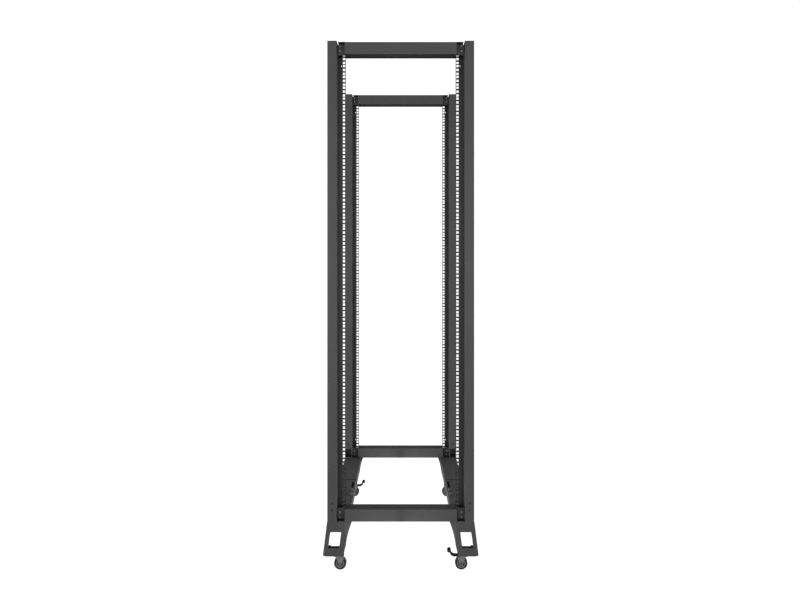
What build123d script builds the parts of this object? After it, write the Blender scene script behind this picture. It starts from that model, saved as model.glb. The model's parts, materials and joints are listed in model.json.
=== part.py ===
from build123d import *
import os
from math import cos, radians, sin, tan

# An open four-post equipment rack, 42 units tall, on four legs with swivel casters.
# Millimetres. +X runs to the right as seen from the front, +Y from front to back, +Z up.
# The origin is on the floor, in the middle of the rack's footprint.

# Driving dimensions of the rack
rack_unit = 44.45
unit_count = 42
hole_centres = 465.1          # between the two columns of square holes
bay_width = 450.0             # clear width between the mounting rails
outer_width = 590.0           # across the posts
frame_height = 1925.0         # crossbar bottom to crossbar top
rail_to_rail = 740.0          # front rails to rear rails, as set
base_top = 212.0              # top of the base rails, where the posts stand
shorter_travel = 100.0        # how far the depth can be shortened
longer_travel = 130.0         # how far the depth can be lengthened

# Posts and crossbars
post_width = 38.1
post_depth = 50.8
post_wall = 2.0
post_corner = 2.5
post_rise = 2.0               # posts stand this far above the crossbars
cap_thickness = 3.0
cap_depth = 15.0
bar_height = 50.0
bar_wall = 2.0
lug_depth = 20.0              # a crossbar's lug is set back this far from its front face
lug_thickness = 3.0
lug_gap = 5.0                 # between a crossbar's lug and the post
ear_thickness = 5.0
bar_screw_heights = (20.0, 40.0)
bar_screw_from_post = 11.0
bar_screw_head_radius = 4.6
bar_screw_head_height = 2.9

# Mounting rails
rail_thickness = 2.0
rail_lip = 16.0
backing_width = 11.0          # flat strip behind the round holes
backing_thickness = 1.5
square_hole = 9.5
hole_heights = (6.35, 22.225, 38.1)    # in each unit, from its bottom
round_hole_radius = 2.25
round_hole_offset = 10.3               # outward from the square holes
rail_screw_count = 6
rail_screw_margin = 110.0

# Base rails
base_width = 84.0
base_height = 40.0
base_wall = 2.0
base_corner = 2.5
slide_gap = 0.5
slide_wall = 2.0
front_base_end = 345.0                 # depths, measured from the front face of the rack
rear_base_start = 447.0
slider_start = 120.0
slider_end = 520.0
clamp_depths = (270.0, 315.0)
clamp_edge = 13.0                      # clamp bolts, in from the edges of the base rail
clamp_slot_width = 9.0

# Post spigots and their screws
spigot_height = 95.0
spigot_wall = 3.0
spigot_fit = 0.25
post_screw_heights = (46.0, 74.0)      # above the base rails
post_screw_radius = 3.0
post_hole_radius = 3.75
access_width = 28.0                    # access window in the rear posts
access_low = 4.0
access_high = 47.0

# Legs, as half widths from the middle of the rack, and heights
plate = 3.0
leg_bottom = 73.0
inner_bend = 221.0
outer_bend_bottom = 303.0
inner_corner = (231.0, leg_bottom)
inner_knee = (inner_bend, 115.0)
wing_top = 195.0
wing_angle = 30.0
flare_bottom = 313.5
flare_angle = 35.0
window = ((239.0, 171.0), (284.0, 171.0), (290.5, 106.0), (247.0, 106.0))
foot_depth = 76.0
foot_plate = 4.0
brace_depth = 130.0
leg_bolt_places = ((243.0, 30.0), (273.0, 30.0), (243.0, 110.0), (273.0, 110.0))

# Casters
swivel_x = 271.0
swivel_depth = 46.0
trail = 24.0
wheel_radius = 25.0
wheel_width = 20.0
tread_inner = 19.5
tread_shoulder = 3.0
hub_rim_inner = 15.5
hub_web = 6.0
hub_boss = 6.5
hub_length = 20.4
spoke_count = 6
axle_radius = 3.0
running_gap = 0.06
caster_plate = 60.0
caster_plate_thickness = 2.5
caster_bolt_spacing = 44.0
race_radius = 19.0
race_height = 8.0
race_gap = 0.5
crown_radius = 18.0
crown_thickness = 3.5
kingpin_radius = 4.0
kingpin_head = 7.0
fork_inside = 21.2
fork_plate = 2.0
pedal_pivot = (34.0, 55.0)             # from the swivel axis, and above the floor
pedal_pin_radius = 2.0
pedal_arm_width = 14.0
pedal_pad_width = 24.0

# Worked-out places
overall_depth = rail_to_rail + post_depth + rail_thickness + rail_lip + plate
front = -overall_depth / 2
half_width = outer_width / 2
half_bay = bay_width / 2
post_inner = half_width - post_width
post_middle = half_width - post_width / 2
frame_top = base_top + frame_height
post_top = frame_top + post_rise
frame_middle = base_top + frame_height / 2
first_unit = frame_middle - unit_count * rack_unit / 2
base_inner = half_width - base_width
base_middle = half_width - base_width / 2
base_bottom = base_top - base_height
plate_bottom = leg_bottom - caster_plate_thickness
race_bottom = plate_bottom - race_height
crown_top = race_bottom - race_gap
crown_bottom = crown_top - crown_thickness

middle = (Align.CENTER, Align.CENTER, Align.CENTER)
standing = (Align.CENTER, Align.CENTER, Align.MIN)


def block(low, high):
    """Return a box between two opposite corners."""
    size = [b - a for a, b in zip(low, high)]
    return Pos(*low) * Box(*size, align=(Align.MIN, Align.MIN, Align.MIN))


def rod(radius, start, end):
    """Return a round bar from one point to another."""
    start = Vector(*start)
    along = Vector(*end) - start
    return Solid.make_cylinder(radius, along.length, Plane(start, z_dir=along))


def hexagon(across_flats, start, end):
    """Return a hexagonal bar from one point to another."""
    start = Vector(*start)
    along = Vector(*end) - start
    face = Plane(start, z_dir=along) * RegularPolygon(across_flats / 2, 6, major_radius=False)
    return extrude(face, along.length, dir=along)


def front_plate(outline, depth, thickness):
    """Return a plate with an outline in X and Z, between two depths from the rack's front."""
    face = Plane.XZ * make_face(Polyline(*outline, close=True))
    return Pos(0, front + depth, 0) * extrude(face, thickness, dir=(0, 1, 0))


def rounded_tube(width, height, wall, corner, length):
    """Return a rectangular tube along Z that starts at the origin."""
    outside = RectangleRounded(width, height, corner)
    inside = RectangleRounded(width - 2 * wall, height - 2 * wall, max(corner - wall, 0.4))
    return extrude(outside - inside, length)


def to_side(shape, side):
    """Return the shape on the right as drawn, or mirrored to the left."""
    return shape if side > 0 else mirror(shape, about=Plane.YZ)


def post(is_rear):
    """Return the right front post: a tube with an ear for each crossbar and its screw holes."""
    tube = Pos(post_middle, front + post_depth / 2, base_top) * rounded_tube(
        post_width, post_depth, post_wall, post_corner, post_top - base_top
    )
    for bar_bottom in (base_top, frame_top - bar_height):
        ear_front = front + lug_depth + lug_thickness
        tube += block(
            (half_bay + 2, ear_front, bar_bottom + 4),
            (post_inner + post_wall / 2, ear_front + ear_thickness, bar_bottom + 46),
        )
    for height in bar_screw_places():
        tube -= rod(3.0, (post_inner - bar_screw_from_post, front, height),
                    (post_inner - bar_screw_from_post, front + lug_depth + 20, height))
    for height in rail_screw_places():
        tube -= rod(2.2, (post_middle, front + post_depth / 2, height),
                    (post_middle, front + post_depth + 5, height))
    screw_heights = post_screw_heights[1:] if is_rear else post_screw_heights
    for height in screw_heights:
        tube -= rod(post_hole_radius, (post_middle, front - 5, base_top + height),
                    (post_middle, front + 10, base_top + height))
    if is_rear:
        tube -= block(
            (post_middle - access_width / 2, front - 5, base_top + access_low),
            (post_middle + access_width / 2, front + 5, base_top + access_high),
        )
    return tube


def bar_screw_places():
    """Return the heights of the crossbar screws, the same distances from the frame's two ends."""
    low = [base_top + bar_height - height for height in bar_screw_heights]
    high = [frame_top - bar_height + height for height in bar_screw_heights]
    return low + high


def rail_screw_places():
    """Return the heights of the screws that hold a mounting rail to its post."""
    first = base_top + rail_screw_margin
    pitch = (frame_height - 2 * rail_screw_margin) / (rail_screw_count - 1)
    return [first + pitch * number for number in range(rail_screw_count)]


def post_cap():
    """Return the plastic cap in the top of the right front post."""
    centre_y = front + post_depth / 2
    lid = Pos(post_middle, centre_y, post_top) * extrude(
        RectangleRounded(post_width, post_depth, post_corner), cap_thickness
    )
    lid = chamfer(lid.edges().group_by(Axis.Z)[-1], 1.2)
    plug_width = post_width - 2 * post_wall - 0.4
    plug_depth = post_depth - 2 * post_wall - 0.4
    plug = Pos(post_middle, centre_y, post_top - cap_depth) * extrude(
        RectangleRounded(plug_width, plug_depth, 0.6), cap_depth
    )
    return lid + plug


def mounting_rail():
    """Return the right front mounting rail, an angle with two columns of holes.

    A strip behind the round holes makes them blind, apart from two that go through for bolts.
    """
    outer = Wire.make_polygon(
        [(half_bay, 0, base_top), (half_width, 0, base_top),
         (half_width, 0, frame_top), (half_bay, 0, frame_top)], close=True
    )
    holes = []
    half = square_hole / 2
    hole_x = hole_centres / 2
    for unit in range(unit_count):
        for height in hole_heights:
            z = first_unit + unit * rack_unit + height
            holes.append(Wire.make_polygon(
                [(hole_x - half, 0, z - half), (hole_x + half, 0, z - half),
                 (hole_x + half, 0, z + half), (hole_x - half, 0, z + half)], close=True
            ))
            centre = (hole_x + round_hole_offset, 0, z)
            holes.append(Wire.make_circle(round_hole_radius, Plane(centre, z_dir=(0, 1, 0))))
    for height in rail_screw_places():
        holes.append(Wire.make_circle(2.7, Plane((post_middle, 0, height), z_dir=(0, 1, 0))))
    flange = Solid.extrude(Face(outer, holes), Vector(0, rail_thickness, 0))
    flange = Pos(0, front + post_depth, 0) * flange
    lip_start = front + post_depth + rail_thickness
    lip = block(
        (half_width - rail_thickness, lip_start - rail_thickness / 2, base_top),
        (half_width, lip_start + rail_lip, frame_top),
    )
    backing_middle = hole_x + round_hole_offset
    backing = block(
        (backing_middle - backing_width / 2, lip_start, base_top),
        (backing_middle + backing_width / 2, lip_start + backing_thickness, frame_top),
    )
    for height in through_hole_places():
        backing -= rod(round_hole_radius, (backing_middle, front, height), (backing_middle, 0, height))
    return flange + lip + backing


def through_hole_places():
    """Return the heights of a rail's two round through holes, one unit in from each end."""
    low = first_unit + rack_unit + hole_heights[0]
    return [low, 2 * frame_middle - low]


def crossbar():
    """Return the top front crossbar: a tube whose top runs on at each end, over a screwed lug."""
    tube = Pos(-half_bay, front + post_depth / 2, frame_top - bar_height / 2) * (
        Rot(0, 90, 0) * rounded_tube(bar_height, post_depth, bar_wall, 2.0, bay_width)
    )
    lug_top = frame_top - bar_wall
    lug_low = frame_top - bar_height + bar_wall
    end = post_inner - lug_gap
    outline = ((half_bay - 25, lug_low), (end - 14, lug_low), (end, lug_low + 12),
               (end, lug_top), (half_bay - 25, lug_top))
    lug = front_plate(outline, lug_depth, lug_thickness)
    for height in bar_screw_heights:
        z = frame_top - bar_height + height
        x = post_inner - bar_screw_from_post
        lug -= rod(3.3, (x, front, z), (x, front + lug_depth + 10, z))
    lug += block((half_bay - 3, front, lug_top), (end, front + lug_depth + lug_thickness, frame_top))
    return tube + lug + mirror(lug, about=Plane.YZ)


def crossbar_screw(height):
    """Return one button-head crossbar screw on the right, seated on the crossbar's lug."""
    x = post_inner - bar_screw_from_post
    seat = front + lug_depth
    head = Pos(x, seat, height) * (
        Rot(90, 0, 0) * Cylinder(bar_screw_head_radius, bar_screw_head_height, align=standing)
    )
    head = fillet(head.edges().group_by(Axis.Y)[0], 1.8)
    top = seat - bar_screw_head_height
    socket = hexagon(3.2, (x, top - 0.1, height), (x, top + 1.6, height))
    shank = rod(2.95, (x, seat - 1, height), (x, seat + 16, height))
    return head - socket + shank


def rail_screw(height):
    """Return one screw that holds the right mounting rail to its post, from behind."""
    seat = front + post_depth + rail_thickness
    head = Pos(post_middle, seat, height) * (Rot(-90, 0, 0) * Cylinder(4.6, 2.8, align=standing))
    head = fillet(head.edges().group_by(Axis.Y)[-1], 1.2)
    shank = rod(2.15, (post_middle, seat + 1, height), (post_middle, seat - 12, height))
    return head + shank


def post_screw(height):
    """Return one set screw that holds the right post to its spigot."""
    z = base_top + height
    face = front + post_wall + spigot_fit
    screw = rod(post_screw_radius, (post_middle, face - 0.8, z), (post_middle, face + 8, z))
    socket = hexagon(3.0, (post_middle, face - 1, z), (post_middle, face + 2, z))
    return screw - socket


def spigot():
    """Return the right spigot, a channel on the base rail that fills the foot of the post."""
    low_x = post_inner + post_wall + spigot_fit
    high_x = half_width - post_wall - spigot_fit
    low_y = front + post_wall + spigot_fit
    high_y = front + post_depth - post_wall - spigot_fit
    outside = block((low_x, low_y, base_top), (high_x, high_y, base_top + spigot_height))
    inside = block(
        (low_x + spigot_wall, low_y + spigot_wall, base_top + spigot_wall),
        (high_x - spigot_wall, high_y + 1, base_top + spigot_height + 1),
    )
    channel = outside - inside
    for height in post_screw_heights:
        z = base_top + height
        channel -= rod(post_screw_radius, (post_middle, low_y - 1, z), (post_middle, low_y + 5, z))
    return channel


def base_tube(wall, start, end):
    """Return a stretch of the right base rail between two depths."""
    tube = Rot(-90, 0, 0) * rounded_tube(base_width, base_height, wall, base_corner, end - start)
    return Pos(base_middle, front + start, base_top - base_height / 2) * tube


def cut_for_wing(tube):
    """Return the base rail with its front inner corner cut away behind the leg's wing."""
    return tube - block(
        (base_inner - 5, front - 1, base_bottom - 1), (inner_bend + plate, front + 22, base_top + 1)
    )


def bolt_holes(shape, places, radius, low, high):
    """Return the shape with upright holes at the given places of X and depth."""
    for x, depth in places:
        shape -= rod(radius, (x, front + depth, low), (x, front + depth, high))
    return shape


def clamp_places():
    """Return the places of the bolts that lock the right base rail."""
    columns = (base_inner + clamp_edge, half_width - clamp_edge)
    return [(x, depth) for x in columns for depth in clamp_depths]


def front_base_rail():
    """Return the right front base rail, the outer half of the telescoping pair."""
    tube = cut_for_wing(base_tube(base_wall, plate, front_base_end))
    tube = bolt_holes(tube, clamp_places(), 4.2, base_top - 5, base_top + 5)
    return bolt_holes(tube, leg_bolt_places, 4.2, base_bottom - 5, base_bottom + 5)


def rear_base_rail():
    """Return the right rear base rail, a sleeve with the slider welded in its front end."""
    sleeve_wall = base_wall + slide_gap
    sleeve = base_tube(base_wall, plate, overall_depth - rear_base_start)
    sleeve = cut_for_wing(sleeve)
    sleeve = bolt_holes(sleeve, leg_bolt_places, 4.2, base_bottom - 5, base_bottom + 5)
    sleeve = mirror(sleeve, about=Plane.XZ)
    width = base_width - 2 * sleeve_wall
    height = base_height - 2 * sleeve_wall
    slider = Rot(-90, 0, 0) * rounded_tube(width, height, slide_wall, 1.5, slider_end - slider_start)
    slider = Pos(base_middle, front + slider_start, base_top - base_height / 2) * slider
    slot_start = clamp_depths[0] - longer_travel - 6
    slot_end = clamp_depths[-1] + shorter_travel + 6
    for x in (base_inner + clamp_edge, half_width - clamp_edge):
        slider -= block(
            (x - clamp_slot_width / 2, front + slot_start, base_top - 10),
            (x + clamp_slot_width / 2, front + slot_end, base_top),
        )
    slider -= block(
        (leg_bolt_places[0][0] - 8, front + slider_start - 1, base_bottom),
        (leg_bolt_places[-1][0] + 8, front + leg_bolt_places[-1][1] + shorter_travel + 10, base_bottom + 10),
    )
    collar = block(
        (base_inner + 1, front + rear_base_start + 1, base_bottom + 1),
        (half_width - 1, front + slider_end, base_top - 1),
    ) - block(
        (base_inner + sleeve_wall + 0.5, front + rear_base_start, base_bottom + sleeve_wall + 0.5),
        (half_width - sleeve_wall - 0.5, front + slider_end + 1, base_top - sleeve_wall - 0.5),
    )
    return sleeve + slider + collar


def clamp_bolt(x, depth):
    """Return one flanged bolt that locks the depth."""
    y = front + depth
    flange = rod(8.5, (x, y, base_top), (x, y, base_top + 1.6))
    head = hexagon(13.0, (x, y, base_top + 1), (x, y, base_top + 7))
    shank = rod(4.0, (x, y, base_top - 18), (x, y, base_top + 1))
    return flange + head + shank


def clamp_nut(x, depth):
    """Return the nut of one clamp bolt, under the slider's top wall."""
    y = front + depth
    top = base_top - base_wall - slide_gap - slide_wall - 0.4
    nut = hexagon(13.0, (x, y, top - 6.5), (x, y, top))
    return nut - rod(4.0, (x, y, top - 10), (x, y, top + 1))


def leg():
    """Return the right front leg: a face plate with a window, two wings and a brace behind."""
    face = front_plate(
        ((inner_bend, base_top), (half_width, base_top), (outer_bend_bottom, leg_bottom),
         inner_corner, inner_knee), 0, plate
    )
    face -= front_plate(window, -1, plate + 2)
    return face + inner_wing() + outer_wing() + leg_brace()


def inner_wing():
    """Return the wing that is bent back towards the inner edge of the base rail."""
    slope = tan(radians(wing_angle))

    def on_wing(x, z):
        return (x, front + (inner_bend - x) * slope, z)

    edge = ThreePointArc(on_wing(*inner_knee), on_wing(212.5, 160), on_wing(wing_top, base_top))
    top = Line(on_wing(wing_top, base_top), on_wing(inner_bend, base_top))
    bend = Line(on_wing(inner_bend, base_top), on_wing(*inner_knee))
    back = Vector(sin(radians(wing_angle)), cos(radians(wing_angle)), 0) * plate
    return Solid.extrude(make_face([edge, top, bend]).face(), back)


def outer_wing():
    """Return the flared outer edge, bent back from the face plate."""
    top = Vector(half_width, front, base_top)
    bend_foot = Vector(outer_bend_bottom, front, leg_bottom)
    reach = flare_bottom - outer_bend_bottom
    tip = Vector(flare_bottom, front + reach * tan(radians(flare_angle)), leg_bottom)
    face = make_face(Polyline(top, bend_foot, tip, close=True)).face()
    normal = (bend_foot - top).cross(tip - top).normalized()
    back = normal if normal.Y > 0 else normal * -1
    wing = Solid.extrude(face, back * plate)
    wing &= block((base_middle, front - 1, leg_bottom), (half_width + 30, front + 40, base_top))
    return wing - block((base_middle, front + plate, base_bottom), (half_width, front + 20, base_top))


def leg_brace():
    """Return the open box behind the face plate, with the seat for the caster."""
    low = leg_bottom
    high = base_bottom
    outside = front_plate(
        ((224, high), (292, high), (303, low), (233, low), (224, 115)), plate - 0.5, brace_depth
    )
    inside = front_plate(
        ((224 + plate, high - plate), (292 - plate, high - plate), (303 - plate, low + foot_plate),
         (233 + plate, low + foot_plate), (224 + plate, 116)), 0, brace_depth + 10
    )
    side_view = Plane.YZ * make_face(Polyline(
        (front, low), (front + foot_depth, low), (front + foot_depth, low + 22),
        (front + brace_depth, high - 22), (front + brace_depth, high), (front, high), close=True
    ))
    brace = (outside - inside) & extrude(side_view, 2 * half_width, dir=(1, 0, 0))
    brace = bolt_holes(brace, caster_bolt_places(), 3.3, low - 5, low + 8)
    return bolt_holes(brace, leg_bolt_places, 4.2, high - 8, high + 5)


def leg_bolt(x, depth):
    """Return one bolt that holds the leg under the base rail."""
    y = front + depth
    seat = base_bottom - plate
    head = hexagon(13.0, (x, y, seat - 5.5), (x, y, seat))
    return head + rod(4.0, (x, y, seat - 1), (x, y, base_bottom + 12))


def caster_bolt_places():
    """Return the places of the four bolts of the right front caster plate."""
    half = caster_bolt_spacing / 2
    return [(swivel_x + a, swivel_depth + b) for a in (-half, half) for b in (-half, half)]


def caster_bolt(x, depth):
    """Return one bolt of a caster plate, with its head below."""
    y = front + depth
    head = hexagon(10.0, (x, y, plate_bottom - 4), (x, y, plate_bottom))
    return head + rod(2.95, (x, y, plate_bottom - 1), (x, y, leg_bottom + foot_plate + 7))


def caster_nut(x, depth):
    """Return the nut of one caster bolt, on the leg's foot plate."""
    y = front + depth
    low = leg_bottom + foot_plate
    return hexagon(10.0, (x, y, low), (x, y, low + 5)) - rod(2.95, (x, y, low - 1), (x, y, low + 6))


def caster_top():
    """Return the caster's fixed top: its plate, the upper race and the riveted kingpin."""
    seat = Pos(0, 0, plate_bottom) * extrude(
        RectangleRounded(caster_plate, caster_plate, 5.0), caster_plate_thickness
    )
    half = caster_bolt_spacing / 2
    for x in (-half, half):
        for y in (-half, half):
            seat -= rod(3.2, (x, y, plate_bottom - 5), (x, y, leg_bottom + 5))
    race = Pos(0, 0, race_bottom) * Cylinder(race_radius, race_height, align=standing)
    race = fillet(race.edges().group_by(Axis.Z)[0], 2.0)
    pin = rod(kingpin_radius, (0, 0, crown_bottom - 2), (0, 0, plate_bottom + 1))
    head = rod(kingpin_head, (0, 0, crown_bottom - 3.5), (0, 0, crown_bottom - race_gap))
    return seat + race + pin + head


def fork():
    """Return the swivelling fork, with the wheel trailing towards +X."""
    crown = Pos(0, 0, crown_bottom) * Cylinder(crown_radius, crown_thickness, align=standing)
    half_outside = fork_inside / 2 + fork_plate
    crown += block((0, -half_outside, crown_bottom), (trail + 3, half_outside, crown_top))
    cheek_outline = make_face(Polyline(
        (-12, crown_top), (-12, crown_bottom - 1), (7, crown_bottom - 6), (18, 23),
        (30, 23), (38.5, 48), (38.5, crown_top - 1), (35, crown_top), close=True
    ))
    cheek_outline += Pos(trail, wheel_radius) * Circle(7.0)
    cheek = extrude(Plane.XZ * cheek_outline, fork_plate)
    cheek = Pos(0, half_outside, 0) * cheek
    shape = crown + cheek + mirror(cheek, about=Plane.XZ)
    shape -= rod(kingpin_radius + running_gap, (0, 0, crown_bottom - 5), (0, 0, crown_top + 5))
    shape -= rod(axle_radius + 0.1, (trail, -20, wheel_radius), (trail, 20, wheel_radius))
    pivot_x, pivot_z = pedal_pivot
    return shape - rod(pedal_pin_radius + running_gap, (pivot_x, -20, pivot_z), (pivot_x, 20, pivot_z))


def axle():
    """Return the axle bolt and its nut, as two solids."""
    outside = fork_inside / 2 + fork_plate
    head = hexagon(10.0, (trail, -outside - 4, wheel_radius), (trail, -outside, wheel_radius))
    shank = rod(axle_radius, (trail, -outside - 1, wheel_radius), (trail, outside + 6, wheel_radius))
    nut = hexagon(10.0, (trail, outside, wheel_radius), (trail, outside + 5, wheel_radius))
    nut -= rod(axle_radius, (trail, outside - 1, wheel_radius), (trail, outside + 7, wheel_radius))
    return [head + shank, nut]


def upright_disc(radius, width):
    """Return a disc on the wheel's axis, centred on the wheel."""
    return Pos(trail, 0, wheel_radius) * (Rot(90, 0, 0) * Cylinder(radius, width, align=middle))


def tread():
    """Return the tyre of the wheel, with rounded shoulders."""
    ring = upright_disc(wheel_radius, wheel_width)
    ring = fillet(ring.edges().filter_by(GeomType.CIRCLE), tread_shoulder)
    return ring - upright_disc(tread_inner, wheel_width + 2)


def hub():
    """Return the wheel's core, with a rim, a web, a boss and spoke pockets on both faces."""
    core = upright_disc(tread_inner, wheel_width - 2) - upright_disc(hub_rim_inner, wheel_width)
    core += upright_disc(hub_rim_inner + 0.5, hub_web) + upright_disc(hub_boss, hub_length)
    for number in range(spoke_count):
        turn = Rot(0, 360 / spoke_count * number, 0)
        rib = Box(hub_rim_inner, 12.0, 2.4, align=(Align.MIN, Align.CENTER, Align.CENTER))
        core += Pos(trail, 0, wheel_radius) * (turn * rib)
    return core - upright_disc(axle_radius + running_gap, hub_length + 4)


def brake_pedal():
    """Return the brake lever: an arm on pivot pins that rises to a thick curved pad."""
    pivot_x, pivot_z = pedal_pivot
    side_view = make_face(Polyline(
        (pivot_x, pivot_z - 3.5), (59, 53), (68.5, 60), (71.5, 71), (80, 72.5), (81.5, 74.5),
        (77, 80.5), (71, 82.5), (66.5, 79), (65.5, 68), (57, 60.5), (pivot_x, pivot_z + 3.5),
        close=True
    ))
    side_view = fillet(side_view.vertices().filter_by(lambda corner: 60 < corner.X < 79), 2.0)
    arm = extrude(Plane.XZ * side_view, pedal_arm_width / 2, both=True)
    pad = extrude(Plane.XZ * side_view, pedal_pad_width / 2, both=True)
    pad &= block((62, -pedal_pad_width, 0), (100, pedal_pad_width, 100))
    boss = rod(3.5, (pivot_x, -10, pivot_z), (pivot_x, 10, pivot_z))
    pins = rod(pedal_pin_radius, (pivot_x, -14, pivot_z), (pivot_x, 14, pivot_z))
    return arm + pad + boss + pins


def save(shape, name):
    """Write one node's solids to its file."""
    solids = shape if isinstance(shape, list) else [shape]
    pieces = [solid for item in solids for solid in item.solids()]
    export_step(pieces[0] if len(pieces) == 1 else Compound(pieces), f"parts/{name}.step")


def place_frame(is_rear):
    """Write the posts, rails, crossbars and small parts of one end frame."""
    end = "rear" if is_rear else "front"
    move = Pos(0, rail_to_rail if is_rear else 0, 0)
    sides = (("left", -1), ("right", 1))
    upright = post(is_rear)
    rail = mounting_rail()
    for name, side in sides:
        save(move * to_side(upright, side), f"post_{end}_{name}")
        save(move * to_side(rail, side), f"mounting_rail_{end}_{name}")
    bar = crossbar()
    save(move * bar, f"crossbar_{end}_top")
    save(move * mirror(bar, about=Plane.XY.offset(frame_middle)), f"crossbar_{end}_bottom")
    stub = spigot()
    if is_rear:
        stub = mirror(stub, about=Plane.XZ.offset(-(front + post_depth / 2)))
    screw_heights = post_screw_heights[1:] if is_rear else post_screw_heights
    groups = {
        f"post_caps_{end}": [post_cap()],
        f"post_spigots_{end}": [stub],
        f"post_screws_{end}": [post_screw(height) for height in screw_heights],
        f"crossbar_screws_{end}": [crossbar_screw(height) for height in bar_screw_places()],
        f"rail_screws_{end}": [rail_screw(height) for height in rail_screw_places()],
    }
    for name, pieces in groups.items():
        save([move * to_side(piece, side) for _, side in sides for piece in pieces], name)


def place_base(is_rear):
    """Write the base rails, legs and their fasteners at one end."""
    end = "rear" if is_rear else "front"

    def at_end(shape):
        return mirror(shape, about=Plane.XZ) if is_rear else shape

    sides = (("left", -1), ("right", 1))
    support = leg()
    base = rear_base_rail() if is_rear else front_base_rail()
    for name, side in sides:
        save(to_side(at_end(support), side), f"leg_{end}_{name}")
        save(to_side(base, side), f"base_rail_{end}_{name}")
    groups = {
        f"leg_bolts_{end}": [leg_bolt(*place) for place in leg_bolt_places],
        f"caster_bolts_{end}": [caster_bolt(*place) for place in caster_bolt_places()],
        f"caster_nuts_{end}": [caster_nut(*place) for place in caster_bolt_places()],
    }
    if not is_rear:
        groups["depth_clamp_bolts"] = [clamp_bolt(*place) for place in clamp_places()]
        groups["depth_clamp_nuts"] = [clamp_nut(*place) for place in clamp_places()]
    for name, pieces in groups.items():
        save([to_side(at_end(piece), side) for _, side in sides for piece in pieces], name)


def place_casters():
    """Write the four casters, with the wheels trailing towards the middle of the rack."""
    top = caster_top()
    pieces = {"caster_fork": fork(), "caster_axle": axle(), "wheel_hub": hub(), "wheel_tread": tread()}
    braked = ("front_right", "rear_left")
    pedal = brake_pedal()
    for end, y in (("front", front + swivel_depth), ("rear", -front - swivel_depth)):
        for name, side in (("left", -1), ("right", 1)):
            place = Pos(side * swivel_x, y, 0)
            turned = place if side < 0 else place * Rot(0, 0, 180)
            corner = f"{end}_{name}"
            save(place * top, f"caster_plate_{corner}")
            for piece_name, piece in pieces.items():
                solids = piece if isinstance(piece, list) else [piece]
                save([turned * solid for solid in solids], f"{piece_name}_{corner}")
            if corner in braked:
                save(turned * pedal, f"brake_pedal_{corner}")


os.makedirs("parts", exist_ok=True)
for at_rear in (False, True):
    place_frame(at_rear)
    place_base(at_rear)
place_casters()
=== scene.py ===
import json
import math

import bmesh
import bpy
from mathutils import Matrix, Vector


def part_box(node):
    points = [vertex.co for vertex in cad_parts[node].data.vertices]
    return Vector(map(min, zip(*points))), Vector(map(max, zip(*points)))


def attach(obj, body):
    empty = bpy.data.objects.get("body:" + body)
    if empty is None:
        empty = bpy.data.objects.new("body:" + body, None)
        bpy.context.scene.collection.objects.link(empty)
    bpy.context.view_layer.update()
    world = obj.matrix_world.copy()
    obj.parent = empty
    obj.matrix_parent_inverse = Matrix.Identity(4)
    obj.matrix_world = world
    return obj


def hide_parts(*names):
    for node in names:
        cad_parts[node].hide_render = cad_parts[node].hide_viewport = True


# The looks of an open four-post equipment rack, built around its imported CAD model.
# Metres, in the CAD model's frame: +X right, +Y from front to back, +Z up.

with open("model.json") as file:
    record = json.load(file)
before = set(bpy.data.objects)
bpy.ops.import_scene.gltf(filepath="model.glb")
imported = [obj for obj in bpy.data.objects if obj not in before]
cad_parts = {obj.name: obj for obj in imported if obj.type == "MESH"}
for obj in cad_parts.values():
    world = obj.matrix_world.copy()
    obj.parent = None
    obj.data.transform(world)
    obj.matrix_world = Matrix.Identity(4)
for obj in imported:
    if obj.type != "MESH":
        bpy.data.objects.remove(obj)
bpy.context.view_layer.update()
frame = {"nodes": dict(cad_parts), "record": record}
nodes = frame["nodes"]


# Softened edge of each kind of CAD node that keeps its own mesh, in metres
softened_kinds = {
    "crossbar": 0.0009, "post_spigots": 0.0004, "crossbar_screws": 0.0003, "rail_screws": 0.0003,
    "leg_bolts": 0.0005, "caster_bolts": 0.0004, "caster_nuts": 0.0004, "depth_clamp_bolts": 0.0005,
    "depth_clamp_nuts": 0.0005, "caster_plate": 0.0004, "caster_fork": 0.0004, "caster_axle": 0.0004,
}

mm = 0.001

# Legs, in millimetres: places across the rack from its middle, heights, and depths from the leg's face.
# A pair of numbers is a place across and a height, but a side of the brace is two places across, at its
# top and at its foot. The brace is cut away below a slope that starts above the foot plate's back edge.
sheet = 3.0
leg_top = 212.0
leg_low = 73.0
inner_bend = 221.0
knee = (inner_bend, 115.0)
inner_foot = (231.0, leg_low)
outer_bend = ((295.0, leg_top), (303.0, leg_low))
bend_radius = 2.5
wing_fold = math.radians(30)
wing_waist = (212.5, 160.0)
wing_tip = (195.0, leg_top)
flare_fold = math.radians(35)
flare_width = 12.8
window = ((239.0, 171.0), (284.0, 171.0), (290.5, 106.0), (247.0, 106.0))
brace_high = 172.0
brace_inner = (224.0, 233.0)
brace_outer = (292.0, 303.0)
brace_back = 130.0
foot_back = 76.0
foot_sheet = 4.0
slope_low = 95.0
slope_high = 164.5
slope_end = 140.0
leg_softening = 0.5

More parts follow.
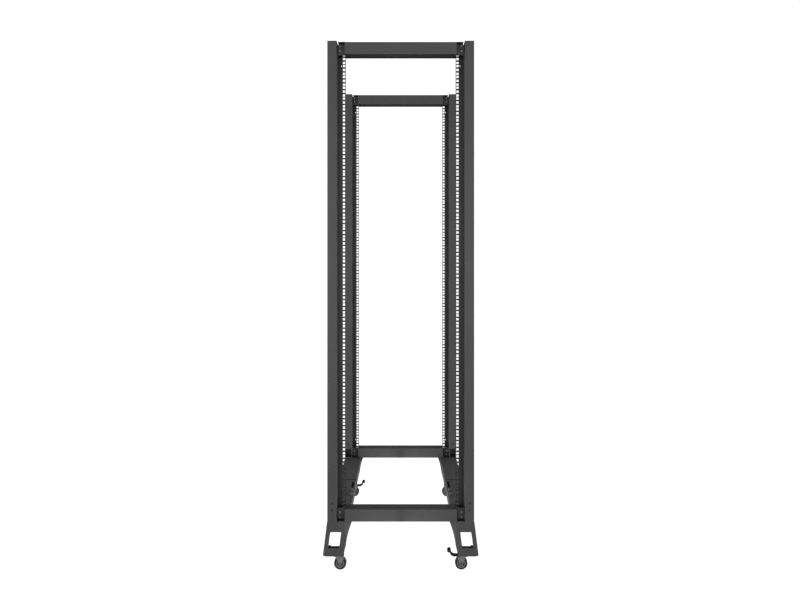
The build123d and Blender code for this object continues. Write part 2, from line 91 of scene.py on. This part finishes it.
# Casters, in millimetres: radii and half widths about the wheel's axle, and the pedal's profile,
# whose numbers are the distance from the swivel axis, the height, and the corner's radius
wheel_radius = 25.0
tread_half_width = 10.0
shoulder = 3.0
tread_inside = 17.0
pocket_outside = 13.8
bore = 3.1
boss_half_width = 10.2
web_half_width = 2.6
spoke_count = 6
spoke_half_width = 7.4
pedal_pivot = (34.0, 55.0)
pedal_profile = (
    (34.0, 51.4, 1.0), (59.0, 53.0, 4.0), (68.5, 60.0, 4.0), (71.5, 71.0, 1.5), (80.0, 72.5, 0.9),
    (81.5, 74.5, 0.9), (77.0, 80.5, 3.0), (71.0, 82.5, 2.5), (66.3, 79.0, 2.0), (65.5, 68.0, 4.0),
    (57.0, 60.5, 3.0), (34.0, 58.6, 1.0),
)
pad_profile = ((66.0, 70.0, 1.5), (71.7, 71.0, 1.5), *pedal_profile[4:9])
arm_half_width = 7.0
pad_half_width = 12.0
pedal_softening = 0.9

# How white the floor and the background glow
background_white = 1.1


class Shader:
    """A material's node tree, with short calls for the nodes that the finishes share."""

    def __init__(self, name):
        self.material = bpy.data.materials.new(name)
        self.material.use_nodes = True
        self.tree = self.material.node_tree
        self.surface = self.tree.nodes["Principled BSDF"]
        self.place = self.tree.nodes.new("ShaderNodeTexCoord").outputs["Object"]

    def link(self, source, target):
        self.tree.links.new(source, target)

    def set(self, **values):
        for name, value in values.items():
            self.surface.inputs[name.replace("_", " ")].default_value = value

    def noise(self, scale, detail=2.0, roughness=0.5, place=None):
        node = self.tree.nodes.new("ShaderNodeTexNoise")
        node.inputs["Scale"].default_value = scale
        node.inputs["Detail"].default_value = detail
        node.inputs["Roughness"].default_value = roughness
        self.link(place or self.place, node.inputs["Vector"])
        return node.outputs["Fac"]

    def stretched(self, scale):
        node = self.tree.nodes.new("ShaderNodeMapping")
        node.inputs["Scale"].default_value = scale
        self.link(self.place, node.inputs["Vector"])
        return node.outputs["Vector"]

    def remap(self, source, low, high, to_low, to_high):
        node = self.tree.nodes.new("ShaderNodeMapRange")
        for name, value in (("From Min", low), ("From Max", high), ("To Min", to_low), ("To Max", to_high)):
            node.inputs[name].default_value = value
        self.link(source, node.inputs["Value"])
        return node.outputs["Result"]

    def math(self, operation, first, second):
        node = self.tree.nodes.new("ShaderNodeMath")
        node.operation = operation
        for socket, value in zip(node.inputs, (first, second)):
            if isinstance(value, float):
                socket.default_value = value
            else:
                self.link(value, socket)
        return node.outputs["Value"]

    def blend(self, factor, first, second):
        node = self.tree.nodes.new("ShaderNodeMix")
        node.data_type = "RGBA"
        self.link(factor, node.inputs["Factor"])
        for socket, value in ((node.inputs["A"], first), (node.inputs["B"], second)):
            if isinstance(value, tuple):
                socket.default_value = (*value, 1.0)
            else:
                self.link(value, socket)
        return node.outputs["Result"]

    def rounded(self, radius):
        """Return the surface normal with sharp edges rounded off."""
        node = self.tree.nodes.new("ShaderNodeBevel")
        node.samples = 4
        node.inputs["Radius"].default_value = radius
        return node.outputs["Normal"]

    def edges(self, radius, low, high):
        """Return how close a point is to a sharp edge, from 0 on a flat face to 1 on the edge."""
        flat = self.tree.nodes.new("ShaderNodeNewGeometry").outputs["Normal"]
        dot = self.tree.nodes.new("ShaderNodeVectorMath")
        dot.operation = "DOT_PRODUCT"
        self.link(self.rounded(radius), dot.inputs[0])
        self.link(flat, dot.inputs[1])
        return self.remap(dot.outputs["Value"], high, low, 0.0, 1.0)

    def openness(self, reach):
        """Return how freely a point faces open air, from 0 in a crevice to 1 on an open face; the finishes
        paint shade with it.
        """
        node = self.tree.nodes.new("ShaderNodeAmbientOcclusion")
        node.samples = 6
        node.inputs["Distance"].default_value = reach
        return node.outputs["AO"]

    def bump(self, height, strength, distance, base=None):
        node = self.tree.nodes.new("ShaderNodeBump")
        node.inputs["Strength"].default_value = strength
        node.inputs["Distance"].default_value = distance
        self.link(height, node.inputs["Height"])
        if base:
            self.link(base, node.inputs["Normal"])
        return node.outputs["Normal"]


def shade(value):
    """Return a grey with a touch of blue."""
    return (value, value, value * 1.03)


def powder_coat(name, level, painted_shade_share=0.5):
    """Return fine-texture black powder coat: a pebbled skin that thins along the edges, with a painted
    highlight there.

    Shade is painted into crevices and recesses, darkening the coat there by the given share.
    """
    roughness = 0.52
    s = Shader(name)
    grain = s.noise(1500.0, 3.0, 0.6)
    speckle = s.noise(620.0, 2.0)
    cloud = s.noise(7.0, 4.0, 0.55)
    rub = s.noise(55.0, 5.0, 0.65, s.stretched((1.0, 1.0, 0.25)))
    tone = s.blend(s.remap(cloud, 0.3, 0.7, 0.0, 1.0), shade(level * 0.92), shade(level * 1.08))
    tone = s.blend(s.remap(speckle, 0.58, 0.78, 0.0, 0.3), tone, shade(level * 1.8))
    # Edges are lightened where the rub noise allows: partly a worn thin coat, partly a painted highlight
    # line.
    rubbed_and_highlighted_edge = s.math("MULTIPLY", s.edges(0.0012, 0.78, 0.985), s.remap(rub, 0.4, 0.66, 0.15, 1.0))
    tone = s.blend(s.math("MULTIPLY", rubbed_and_highlighted_edge, 0.4), tone, shade(level * 2.6))
    # Painted shade: ambient occlusion darkens crevices and recesses towards black.
    painted_shade_mask = s.remap(s.openness(0.08), 0.35, 0.95, 1.0 - painted_shade_share, 1.0)
    tone = s.blend(painted_shade_mask, shade(0.004), tone)
    s.link(tone, s.surface.inputs["Base Color"])
    rough = s.remap(cloud, 0.3, 0.7, roughness - 0.04, roughness + 0.05)
    rough = s.math("ADD", rough, s.remap(grain, 0.3, 0.7, -0.05, 0.05))
    rough = s.math("SUBTRACT", rough, s.math("MULTIPLY", rubbed_and_highlighted_edge, 0.12))
    s.link(rough, s.surface.inputs["Roughness"])
    skin = s.bump(grain, 0.35, 0.00006, s.rounded(0.0006))
    s.link(s.bump(speckle, 0.25, 0.00012, skin), s.surface.inputs["Normal"])
    s.set(Specular_IOR_Level=0.3)
    return s.material


def zinc(name, level, roughness=0.34):
    """Return zinc plate: metal with soft spangle, fine turning marks, rubbed edges and painted shade in its
    hollows.
    """
    s = Shader(name)
    spangle = s.noise(240.0, 3.0, 0.6)
    fine = s.noise(2600.0, 2.0)
    stain = s.noise(38.0, 4.0, 0.6)
    tone = s.blend(s.remap(spangle, 0.3, 0.7, 0.0, 1.0), shade(level * 0.78), shade(level * 1.12))
    tone = s.blend(s.remap(stain, 0.55, 0.75, 0.0, 0.4), tone, shade(level * 0.5))
    tone = s.blend(s.math("MULTIPLY", s.edges(0.0006, 0.75, 0.98), 0.5), tone, shade(level * 1.5))
    # Painted shade: ambient occlusion darkens the zinc in hollows and crevices.
    tone = s.blend(s.remap(s.openness(0.03), 0.2, 0.8, 0.15, 1.0), shade(0.01), tone)
    s.link(tone, s.surface.inputs["Base Color"])
    rough = s.remap(spangle, 0.3, 0.7, roughness - 0.06, roughness + 0.08)
    rough = s.math("ADD", rough, s.remap(stain, 0.5, 0.8, 0.0, 0.16))
    s.link(rough, s.surface.inputs["Roughness"])
    s.link(s.bump(fine, 0.2, 0.00003), s.surface.inputs["Normal"])
    s.set(Metallic=0.75)
    return s.material


def black_oxide(name):
    """Return the oiled black finish of small steel screws."""
    s = Shader(name)
    mottle = s.noise(420.0, 3.0, 0.6)
    tone = s.blend(s.remap(mottle, 0.3, 0.7, 0.0, 1.0), shade(0.004), shade(0.011))
    tone = s.blend(s.math("MULTIPLY", s.edges(0.0005, 0.75, 0.98), 0.5), tone, shade(0.12))
    s.link(tone, s.surface.inputs["Base Color"])
    s.link(s.remap(mottle, 0.3, 0.7, 0.28, 0.44), s.surface.inputs["Roughness"])
    s.link(s.bump(s.noise(2200.0), 0.2, 0.00003), s.surface.inputs["Normal"])
    s.set(Specular_IOR_Level=0.35)
    return s.material


def moulded(name, level, roughness):
    """Return moulded plastic with a fine spark-eroded grain, faint flow marks and painted shade in its
    hollows.
    """
    s = Shader(name)
    flow = s.noise(24.0, 3.0, 0.5, s.stretched((1.0, 3.0, 1.0)))
    pits = s.noise(900.0, 3.0, 0.65)
    tone = s.blend(s.remap(flow, 0.3, 0.7, 0.0, 1.0), shade(level * 0.86), shade(level * 1.14))
    tone = s.blend(s.math("MULTIPLY", s.edges(0.0008, 0.75, 0.98), 0.3), tone, shade(level * 2.0 + 0.01))
    # Painted shade: ambient occlusion darkens the plastic in its hollows, such as the hub's pockets.
    tone = s.blend(s.remap(s.openness(0.012), 0.35, 0.85, 0.1, 1.0), shade(0.004), tone)
    s.link(tone, s.surface.inputs["Base Color"])
    s.link(s.remap(pits, 0.3, 0.7, roughness - 0.05, roughness + 0.07), s.surface.inputs["Roughness"])
    s.link(s.bump(pits, 0.3, 0.00005), s.surface.inputs["Normal"])
    s.set(Specular_IOR_Level=0.45)
    return s.material


def rubber(name):
    """Return the matt rubber of a tread, scuffed and dusty where it rolls."""
    s = Shader(name)
    dust = s.noise(130.0, 5.0, 0.7)
    tone = s.blend(s.remap(dust, 0.42, 0.72, 0.0, 1.0), shade(0.012), shade(0.034))
    s.link(tone, s.surface.inputs["Base Color"])
    s.link(s.remap(dust, 0.3, 0.7, 0.62, 0.84), s.surface.inputs["Roughness"])
    s.link(s.bump(s.noise(1100.0, 4.0, 0.7), 0.4, 0.0001), s.surface.inputs["Normal"])
    s.set(Specular_IOR_Level=0.35)
    return s.material


finishes = {
    "frame_paint": powder_coat("frame_paint", 0.052),
    # The crossbars' lugs and the rails' flanges get a strong share of painted shade in their recesses.
    "crossbar_paint": powder_coat("crossbar_paint", 0.052, painted_shade_share=0.95),
    # The rails' coat is given half the frame's level: painted shade on the recessed rail flanges.
    "rail_paint": powder_coat("rail_paint", 0.026, painted_shade_share=0.97),
    "base_paint": powder_coat("base_paint", 0.06),
    "leg_paint": powder_coat("leg_paint", 0.05),
    "cap_plastic": moulded("cap_plastic", 0.03, 0.5),
    "bright_screws": zinc("bright_screws", 0.24),
    "black_screws": black_oxide("black_screws"),
    "caster_zinc": zinc("caster_zinc", 0.24, 0.45),
    "hub_plastic": moulded("hub_plastic", 0.19, 0.42),
    "tread_rubber": rubber("tread_rubber"),
    "pedal_plastic": moulded("pedal_plastic", 0.014, 0.34),
}
# A far darker copy of the caster zinc: painted shade on the caster plates under the legs.
shaded_plate_zinc = zinc("caster_plate", 0.05, 0.5)
slot_of = {item["node"]: item["material_slot"] for item in frame["record"]["subparts"]}


def give_finish(piece, slot):
    """Give a piece one material, the finish of its slot."""
    piece.data.materials.clear()
    piece.data.materials.append(finishes[slot])


for node_name, node in nodes.items():
    give_finish(node, slot_of[node_name])
    # The caster plates take the darker zinc copy, which paints shade on them.
    if node_name.startswith("caster_plate"):
        node.data.materials[0] = shaded_plate_zinc


def rounded(corners, radius=None, steps=4):
    """Return a loop of points with every corner rounded. A corner's third number is its own radius."""
    loop = []
    for number, corner in enumerate(corners):
        here = Vector(corner[:2])
        size = corner[2] if len(corner) > 2 else radius
        before = (Vector(corners[number - 1][:2]) - here).normalized()
        after = (Vector(corners[(number + 1) % len(corners)][:2]) - here).normalized()
        opening = before.angle(after)
        reach = size / math.tan(opening / 2)
        centre = here + (before + after).normalized() * size / math.sin(opening / 2)
        for step in range(steps + 1):
            point = (here + before * reach).lerp(here + after * reach, step / steps)
            loop.append(centre + (point - centre).normalized() * size)
    return loop


def prism(loops, low, high):
    """Return a prism along local Z. The first loop is its outline, and the others are holes."""
    shape = bmesh.new()
    edges = []
    for loop in loops:
        ring = [shape.verts.new((point[0], point[1], low)) for point in loop]
        edges += [shape.edges.new((ring[number - 1], ring[number])) for number in range(len(ring))]
    filled = bmesh.ops.triangle_fill(shape, use_beauty=True, edges=edges)
    faces = [item for item in filled["geom"] if isinstance(item, bmesh.types.BMFace)]
    raised = bmesh.ops.extrude_face_region(shape, geom=faces)
    top = [item for item in raised["geom"] if isinstance(item, bmesh.types.BMVert)]
    bmesh.ops.translate(shape, verts=top, vec=(0.0, 0.0, high - low))
    bmesh.ops.recalc_face_normals(shape, faces=shape.faces)
    flat_join = math.radians(0.5)
    bmesh.ops.dissolve_limit(shape, angle_limit=flat_join, verts=shape.verts, edges=shape.edges)
    return shape


def fold(panel, foot, along, angle, steps=6):
    """Fold a flat panel back, towards local +Z, past the line through foot that runs along a direction."""
    nearly_zero = 1e-7
    along = Vector(along).normalized()
    across = Vector((along.y, -along.x))
    outside = bend_radius + sheet
    setback = math.tan(angle / 2) * outside
    foot = Vector(foot) - across * setback
    arc = (bend_radius + sheet / 2) * angle
    for step in range(steps + 1):
        cut = foot + across * arc * step / steps
        bmesh.ops.bisect_plane(
            panel, geom=list(panel.verts) + list(panel.edges) + list(panel.faces), dist=nearly_zero,
            plane_co=(*cut, 0.0), plane_no=(*across, 0.0),
        )
    for corner in panel.verts:
        flat = Vector(corner.co.xy) - foot
        past = flat.dot(across)
        if past <= nearly_zero:
            continue
        turn = min(past / arc, 1.0) * angle
        rest = max(past - arc, 0.0)
        swing = outside - corner.co.z
        reach = swing * math.sin(turn) + rest * math.cos(turn)
        back = outside - swing * math.cos(turn) + rest * math.sin(turn)
        place = foot + along * flat.dot(along) + across * reach
        corner.co = (place.x, place.y, back)


def turned(profile, steps=72):
    """Return a ring about the Y axis from a closed profile of (radius, width) points."""
    shape = bmesh.new()
    rings = []
    for step in range(steps):
        turn = math.tau * step / steps
        rings.append([
            shape.verts.new((radius * math.cos(turn), width, radius * math.sin(turn)))
            for radius, width in profile
        ])
    for number, ring in enumerate(rings):
        last = rings[number - 1]
        for point in range(len(profile)):
            shape.faces.new((last[point - 1], last[point], ring[point], ring[point - 1]))
    bmesh.ops.recalc_face_normals(shape, faces=shape.faces)
    return shape


def both_sides(half):
    """Return a closed profile from its half, which goes from the bore to the rim on the +Y side."""
    return half + [(radius, -width) for radius, width in reversed(half)]


def chamfered(inside, outside, half_length):
    """Return the closed profile of a ring or rod whose outer edges are chamfered."""
    chamfer = 0.4
    ends = [(inside, half_length), (outside - chamfer, half_length), (outside, half_length - chamfer)]
    return both_sides(ends)


def joined(*shapes):
    """Return one shape that holds all the given shapes."""
    whole = bmesh.new()
    for shape in shapes:
        mesh = bpy.data.meshes.new("part")
        shape.to_mesh(mesh)
        whole.from_mesh(mesh)
        shape.free()
        bpy.data.meshes.remove(mesh)
    return whole


def moved(shape, matrix):
    """Move a shape, turning its faces right side out again where the move mirrors it."""
    bmesh.ops.transform(shape, matrix=matrix, verts=shape.verts)
    if matrix.determinant() < 0:
        bmesh.ops.reverse_faces(shape, faces=shape.faces)
    return shape


def subtracted(shape, tool):
    """Return a shape with another cut away from it."""
    pieces = []
    for item in (shape, tool):
        mesh = bpy.data.meshes.new("cut")
        item.to_mesh(mesh)
        item.free()
        pieces.append(bpy.data.objects.new("cut", mesh))
        bpy.context.scene.collection.objects.link(pieces[-1])
    change = pieces[0].modifiers.new("cut", "BOOLEAN")
    change.object = pieces[1]
    change.solver = "EXACT"
    done = pieces[0].evaluated_get(bpy.context.evaluated_depsgraph_get())
    result = bmesh.new()
    result.from_mesh(done.data)
    for piece in pieces:
        mesh = piece.data
        bpy.data.objects.remove(piece)
        bpy.data.meshes.remove(mesh)
    return result


def soften(piece, width):
    """Round a piece's sharp edges and keep its flat faces flat."""
    bevel = piece.modifiers.new("softened_edges", "BEVEL")
    bevel.limit_method = "ANGLE"
    bevel.angle_limit = math.radians(35)
    bevel.width = width
    bevel.segments = 2
    bevel.miter_outer = "MITER_ARC"
    bevel.harden_normals = True


def add_piece(name, shape, slot, body, replaced, softening):
    """Make an object of a shape, which stands for one CAD node and rides on that node's body."""
    mesh = bpy.data.meshes.new(name)
    shape.to_mesh(mesh)
    shape.free()
    mesh.polygons.foreach_set("use_smooth", [True] * len(mesh.polygons))
    mesh.set_sharp_from_angle(angle=math.radians(32))
    piece = bpy.data.objects.new(name, mesh)
    bpy.context.scene.collection.objects.link(piece)
    if softening:
        soften(piece, softening)
    give_finish(piece, slot)
    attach(piece, body)
    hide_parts(replaced)


def soften_cad_nodes():
    """Round the edges of the CAD's bent and turned parts, whose meshes stay as they are underneath."""
    for node_name, node in nodes.items():
        # A node's kind is its name up to the end of the rack that it is at
        kind = node_name.rsplit("_front", 1)[0].rsplit("_rear", 1)[0]
        if kind not in softened_kinds:
            continue
        weld = node.modifiers.new("joined_corners", "WELD")
        weld.merge_threshold = 2e-6
        clean = node.modifiers.new("plain_faces", "DECIMATE")
        clean.decimate_type = "DISSOLVE"
        clean.angle_limit = math.radians(0.3)
        soften(node, softened_kinds[kind])


def saved_by_fold(angle):
    """Return how much shorter than its two outer faces a folded sheet lies when it is flat."""
    return 2 * math.tan(angle / 2) * (bend_radius + sheet) - (bend_radius + sheet / 2) * angle


def curve_through(first, middle, last, steps=8):
    """Return the points between the first and the last of a parabola through three points."""
    points = []
    for step in range(1, steps):
        share = step / steps
        weights = ((1 - share) * (1 - 2 * share), 4 * share * (1 - share), share * (2 * share - 1))
        points.append(sum((Vector(p) * w for p, w in zip((first, middle, last), weights)), Vector((0, 0))))
    return points


def unfolded(point):
    """Return where a point of the folded inner wing, seen from the front, lies on the flat sheet."""
    across, height = point
    return inner_bend - (inner_bend - across) / math.cos(wing_fold) + saved_by_fold(wing_fold), height


def leg_face():
    """Return a leg's face: one sheet with a window, an inner wing and a flared outer edge, folded back."""
    top_bend, low_bend = outer_bend
    flare_low = low_bend[0] + flare_width - saved_by_fold(flare_fold)
    outline = rounded([
        (*unfolded(wing_tip), 0.6), (*top_bend, 0.4), (flare_low, leg_low, 2.5), (*inner_foot, 4.0),
        (*knee, 0.4),
    ])
    outline += curve_through(knee, unfolded(wing_waist), unfolded(wing_tip))
    shape = prism([outline, rounded(window, 1.5)], 0.0, sheet)
    fold(shape, top_bend, Vector(top_bend) - Vector(low_bend), flare_fold)
    fold(shape, (inner_bend, leg_low), (0.0, -1.0), wing_fold)
    return shape


def leg_brace():
    """Return the box behind a leg's face, whose floor is the foot plate, cut away below its slope."""
    inner_top, inner_low = brace_inner
    outer_top, outer_low = brace_outer
    foot_top = leg_low + foot_sheet
    outside = [
        (inner_top, brace_high), (outer_top, brace_high), (outer_low, leg_low), (inner_low, leg_low),
        (inner_top, knee[1]),
    ]
    inside = [
        (inner_top + sheet, brace_high - sheet), (outer_top - sheet, brace_high - sheet),
        (outer_low - sheet, foot_top), (inner_low + sheet, foot_top), (inner_top + sheet, knee[1] + 1.0),
    ]
    overlap = 0.5
    box = prism([rounded(outside, 4.0), rounded(inside, 1.5)], sheet - overlap, brace_back)
    past_back = 160.0
    past_low = 60.0
    past_sides = (200.0, 330.0)
    below_slope = [
        (foot_back, past_low), (past_back, past_low), (past_back, slope_high), (slope_end, slope_high),
        (foot_back, slope_low),
    ]
    tool = prism([below_slope], *past_sides)
    swap_x_and_z = Matrix(((0, 0, 1, 0), (0, 1, 0, 0), (1, 0, 0, 0), (0, 0, 0, 1)))
    return subtracted(box, moved(tool, swap_x_and_z))


def add_leg(end, side):
    """Add one leg. The end is front or rear, and the side is left or right."""
    name = f"leg_{end}_{side}"
    low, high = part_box(name)
    outward = 1 if side == "right" else -1
    backward = 1 if end == "front" else -1
    face_y = low[1] if end == "front" else high[1]
    place = Matrix((
        (outward * mm, 0, 0, 0), (0, 0, backward * mm, face_y), (0, mm, 0, 0), (0, 0, 0, 1)
    ))
    shape = moved(joined(leg_face(), leg_brace()), place)
    add_piece(f"formed_{name}", shape, "leg_paint", f"{end}_frame", name, leg_softening * mm)


def tread():
    """Return a tyre with rounded shoulders and a bead groove in each side wall."""
    centre = (wheel_radius - shoulder, tread_half_width - shoulder)
    side_wall = [(tread_inside, 8.6), (18.0, 9.3)]
    bead_groove = [(19.4, 9.5), (19.9, 9.0), (20.4, 9.0), (20.9, 9.7)]
    half = side_wall + bead_groove
    steps = 6
    for step in range(steps + 1):
        turn = math.radians(90 - 90 * step / steps)
        half.append((centre[0] + shoulder * math.cos(turn), centre[1] + shoulder * math.sin(turn)))
    return turned(both_sides(half))


def hub():
    """Return a wheel's core: a rim, a thin web, a boss with a bore, and spokes on both faces."""
    boss = [(bore, boss_half_width), (6.0, boss_half_width), (6.5, 9.7), (6.8, 3.4)]
    web = [(7.4, web_half_width), (13.0, web_half_width), (13.6, 3.2)]
    rim = [(pocket_outside, 8.3), (14.2, 8.8), (16.6, 8.8), (tread_inside, 8.4)]
    parts = [turned(both_sides(boss + web + rim))]
    spoke = rounded([(6.2, -1.1), (14.0, -1.5), (14.0, 1.5), (6.2, 1.1)], 0.2)
    upright = Matrix.Rotation(math.radians(90), 4, "X")
    for number in range(spoke_count):
        blade = prism([spoke], -spoke_half_width, spoke_half_width)
        parts.append(moved(blade, Matrix.Rotation(math.tau * number / spoke_count, 4, "Y") @ upright))
    return joined(*parts)


def add_wheel(end, side):
    """Add the tyre and the core of one wheel."""
    low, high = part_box(f"wheel_tread_{end}_{side}")
    centre = [(a + b) / 2 for a, b in zip(low, high)]
    place = Matrix.Translation(centre) @ Matrix.Scale(mm, 4)
    for kind, shape, slot in (("tread", tread(), "tread_rubber"), ("hub", hub(), "hub_plastic")):
        node_name = f"wheel_{kind}_{end}_{side}"
        add_piece(f"moulded_{node_name}", moved(shape, place), slot, f"wheel_{end}_{side}", node_name, 0.0)


def add_pedal(end, side):
    """Add one brake pedal: an arm on its pins, with a broad thick pad at its end."""
    arm = prism([rounded(pedal_profile)], -arm_half_width, arm_half_width)
    pad = prism([rounded(pad_profile)], -pad_half_width, pad_half_width)
    upright = Matrix(((1, 0, 0, 0), (0, 0, 1, 0), (0, 1, 0, 0), (0, 0, 0, 1)))
    pivot = Matrix.Translation((pedal_pivot[0], 0.0, pedal_pivot[1]))
    pins = turned(chamfered(0.4, 2.0, 14.0), 24)
    boss = turned(chamfered(1.9, 3.6, 10.0), 32)
    low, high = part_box(f"caster_plate_{end}_{side}")
    swivel = ((low[0] + high[0]) / 2, (low[1] + high[1]) / 2, 0.0)
    inward = -1 if side == "right" else 1
    place = Matrix.Translation(swivel) @ Matrix.Diagonal((inward * mm, mm, mm, 1.0))
    shape = joined(moved(arm, upright), moved(pad, upright), moved(pins, pivot), moved(boss, pivot))
    shape = moved(shape, place)
    name = f"brake_pedal_{end}_{side}"
    add_piece(f"moulded_{name}", shape, "pedal_plastic", f"brake_{end}_{side}", name, pedal_softening * mm)


for end in ("front", "rear"):
    for side in ("left", "right"):
        add_leg(end, side)
        add_wheel(end, side)
add_pedal("front", "right")
add_pedal("rear", "left")
soften_cad_nodes()


def area_light(name, place, target, width, height, power, glossy=True):
    """Add a softbox that faces a target point and that the camera doesn't see.

    A softbox that isn't glossy makes no reflections.
    """
    data = bpy.data.lights.new(name, "AREA")
    data.shape = "RECTANGLE"
    data.size = width
    data.size_y = height
    data.energy = power
    lamp = bpy.data.objects.new(name, data)
    lamp.location = place
    lamp.rotation_euler = (Vector(target) - Vector(place)).to_track_quat("-Z", "Y").to_euler()
    lamp.visible_camera = False
    lamp.visible_glossy = glossy
    bpy.context.scene.collection.objects.link(lamp)


def white_floor():
    """Add a plain floor that glows as white as the background, so that they meet with no line."""
    mesh = bpy.data.meshes.new("floor")
    side = 60.0
    height = -0.0003
    corners = [(-side, -side), (side, -side), (side, side), (-side, side)]
    mesh.from_pydata([(x, y, height) for x, y in corners], [], [(0, 1, 2, 3)])
    floor = bpy.data.objects.new("floor", mesh)
    bpy.context.scene.collection.objects.link(floor)
    material = bpy.data.materials.new("floor")
    material.use_nodes = True
    surface = material.node_tree.nodes["Principled BSDF"]
    surface.inputs["Base Color"].default_value = (0.0, 0.0, 0.0, 1.0)
    surface.inputs["Specular IOR Level"].default_value = 0.0
    surface.inputs["Emission Color"].default_value = (1.0, 1.0, 1.0, 1.0)
    surface.inputs["Emission Strength"].default_value = background_white
    mesh.materials.append(material)
    floor.visible_glossy = False
    floor.visible_diffuse = False
    floor.visible_shadow = False


def backdrop():
    """Make the background plain white, and leave the lighting to the softboxes."""
    world = bpy.data.worlds.new("backdrop")
    world.use_nodes = True
    background = world.node_tree.nodes["Background"]
    background.inputs["Color"].default_value = (1.0, 1.0, 1.0, 1.0)
    background.inputs["Strength"].default_value = background_white
    bpy.context.scene.world = world
    world.cycles_visibility.diffuse = False
    world.cycles_visibility.glossy = False


def studio():
    """Add the softboxes: a broad one in front, weak ones all round, and low strips between the legs."""
    middle = (0.0, 0.0, 1.05)
    area_light("front_softbox", (0.0, -4.6, 1.2), middle, 3.6, 3.8, 180.0)
    area_light("left_softbox", (-4.0, 0.1, 1.2), middle, 2.6, 3.4, 190.0)
    area_light("right_softbox", (4.0, 0.1, 1.2), middle, 2.6, 3.4, 190.0)
    area_light("inner_left_strip", (0.0, -0.15, 0.13), (-0.25, -0.15, 0.14), 1.0, 0.12, 2.6, glossy=False)
    area_light("inner_right_strip", (0.0, -0.15, 0.13), (0.25, -0.15, 0.14), 1.0, 0.12, 2.6, glossy=False)
    area_light("high_softbox", (0.0, -1.7, 4.4), (0.0, 0.0, 0.8), 4.0, 1.2, 26.0)
    area_light("back_softbox", (0.0, 5.0, 1.3), middle, 4.0, 3.6, 165.0, glossy=False)
    area_light("top_softbox", (0.0, 0.6, 4.6), middle, 3.0, 3.0, 14.0, glossy=False)


def camera():
    """Add the camera: level, in front of the rack and a little left of its middle."""
    data = bpy.data.cameras.new("camera")
    data.sensor_width = 36.0
    data.lens = 25.7
    data.shift_y = -0.0505
    data.clip_end = 300.0
    view = bpy.data.objects.new("camera", data)
    view.location = (-0.003, -2.696, 1.2636)
    view.rotation_euler = (math.radians(90), 0.0, 0.0)
    bpy.context.scene.collection.objects.link(view)
    bpy.context.scene.camera = view


white_floor()
backdrop()
studio()
camera()
scene = bpy.context.scene
scene.view_settings.view_transform = "Standard"
scene.cycles.use_denoising = True
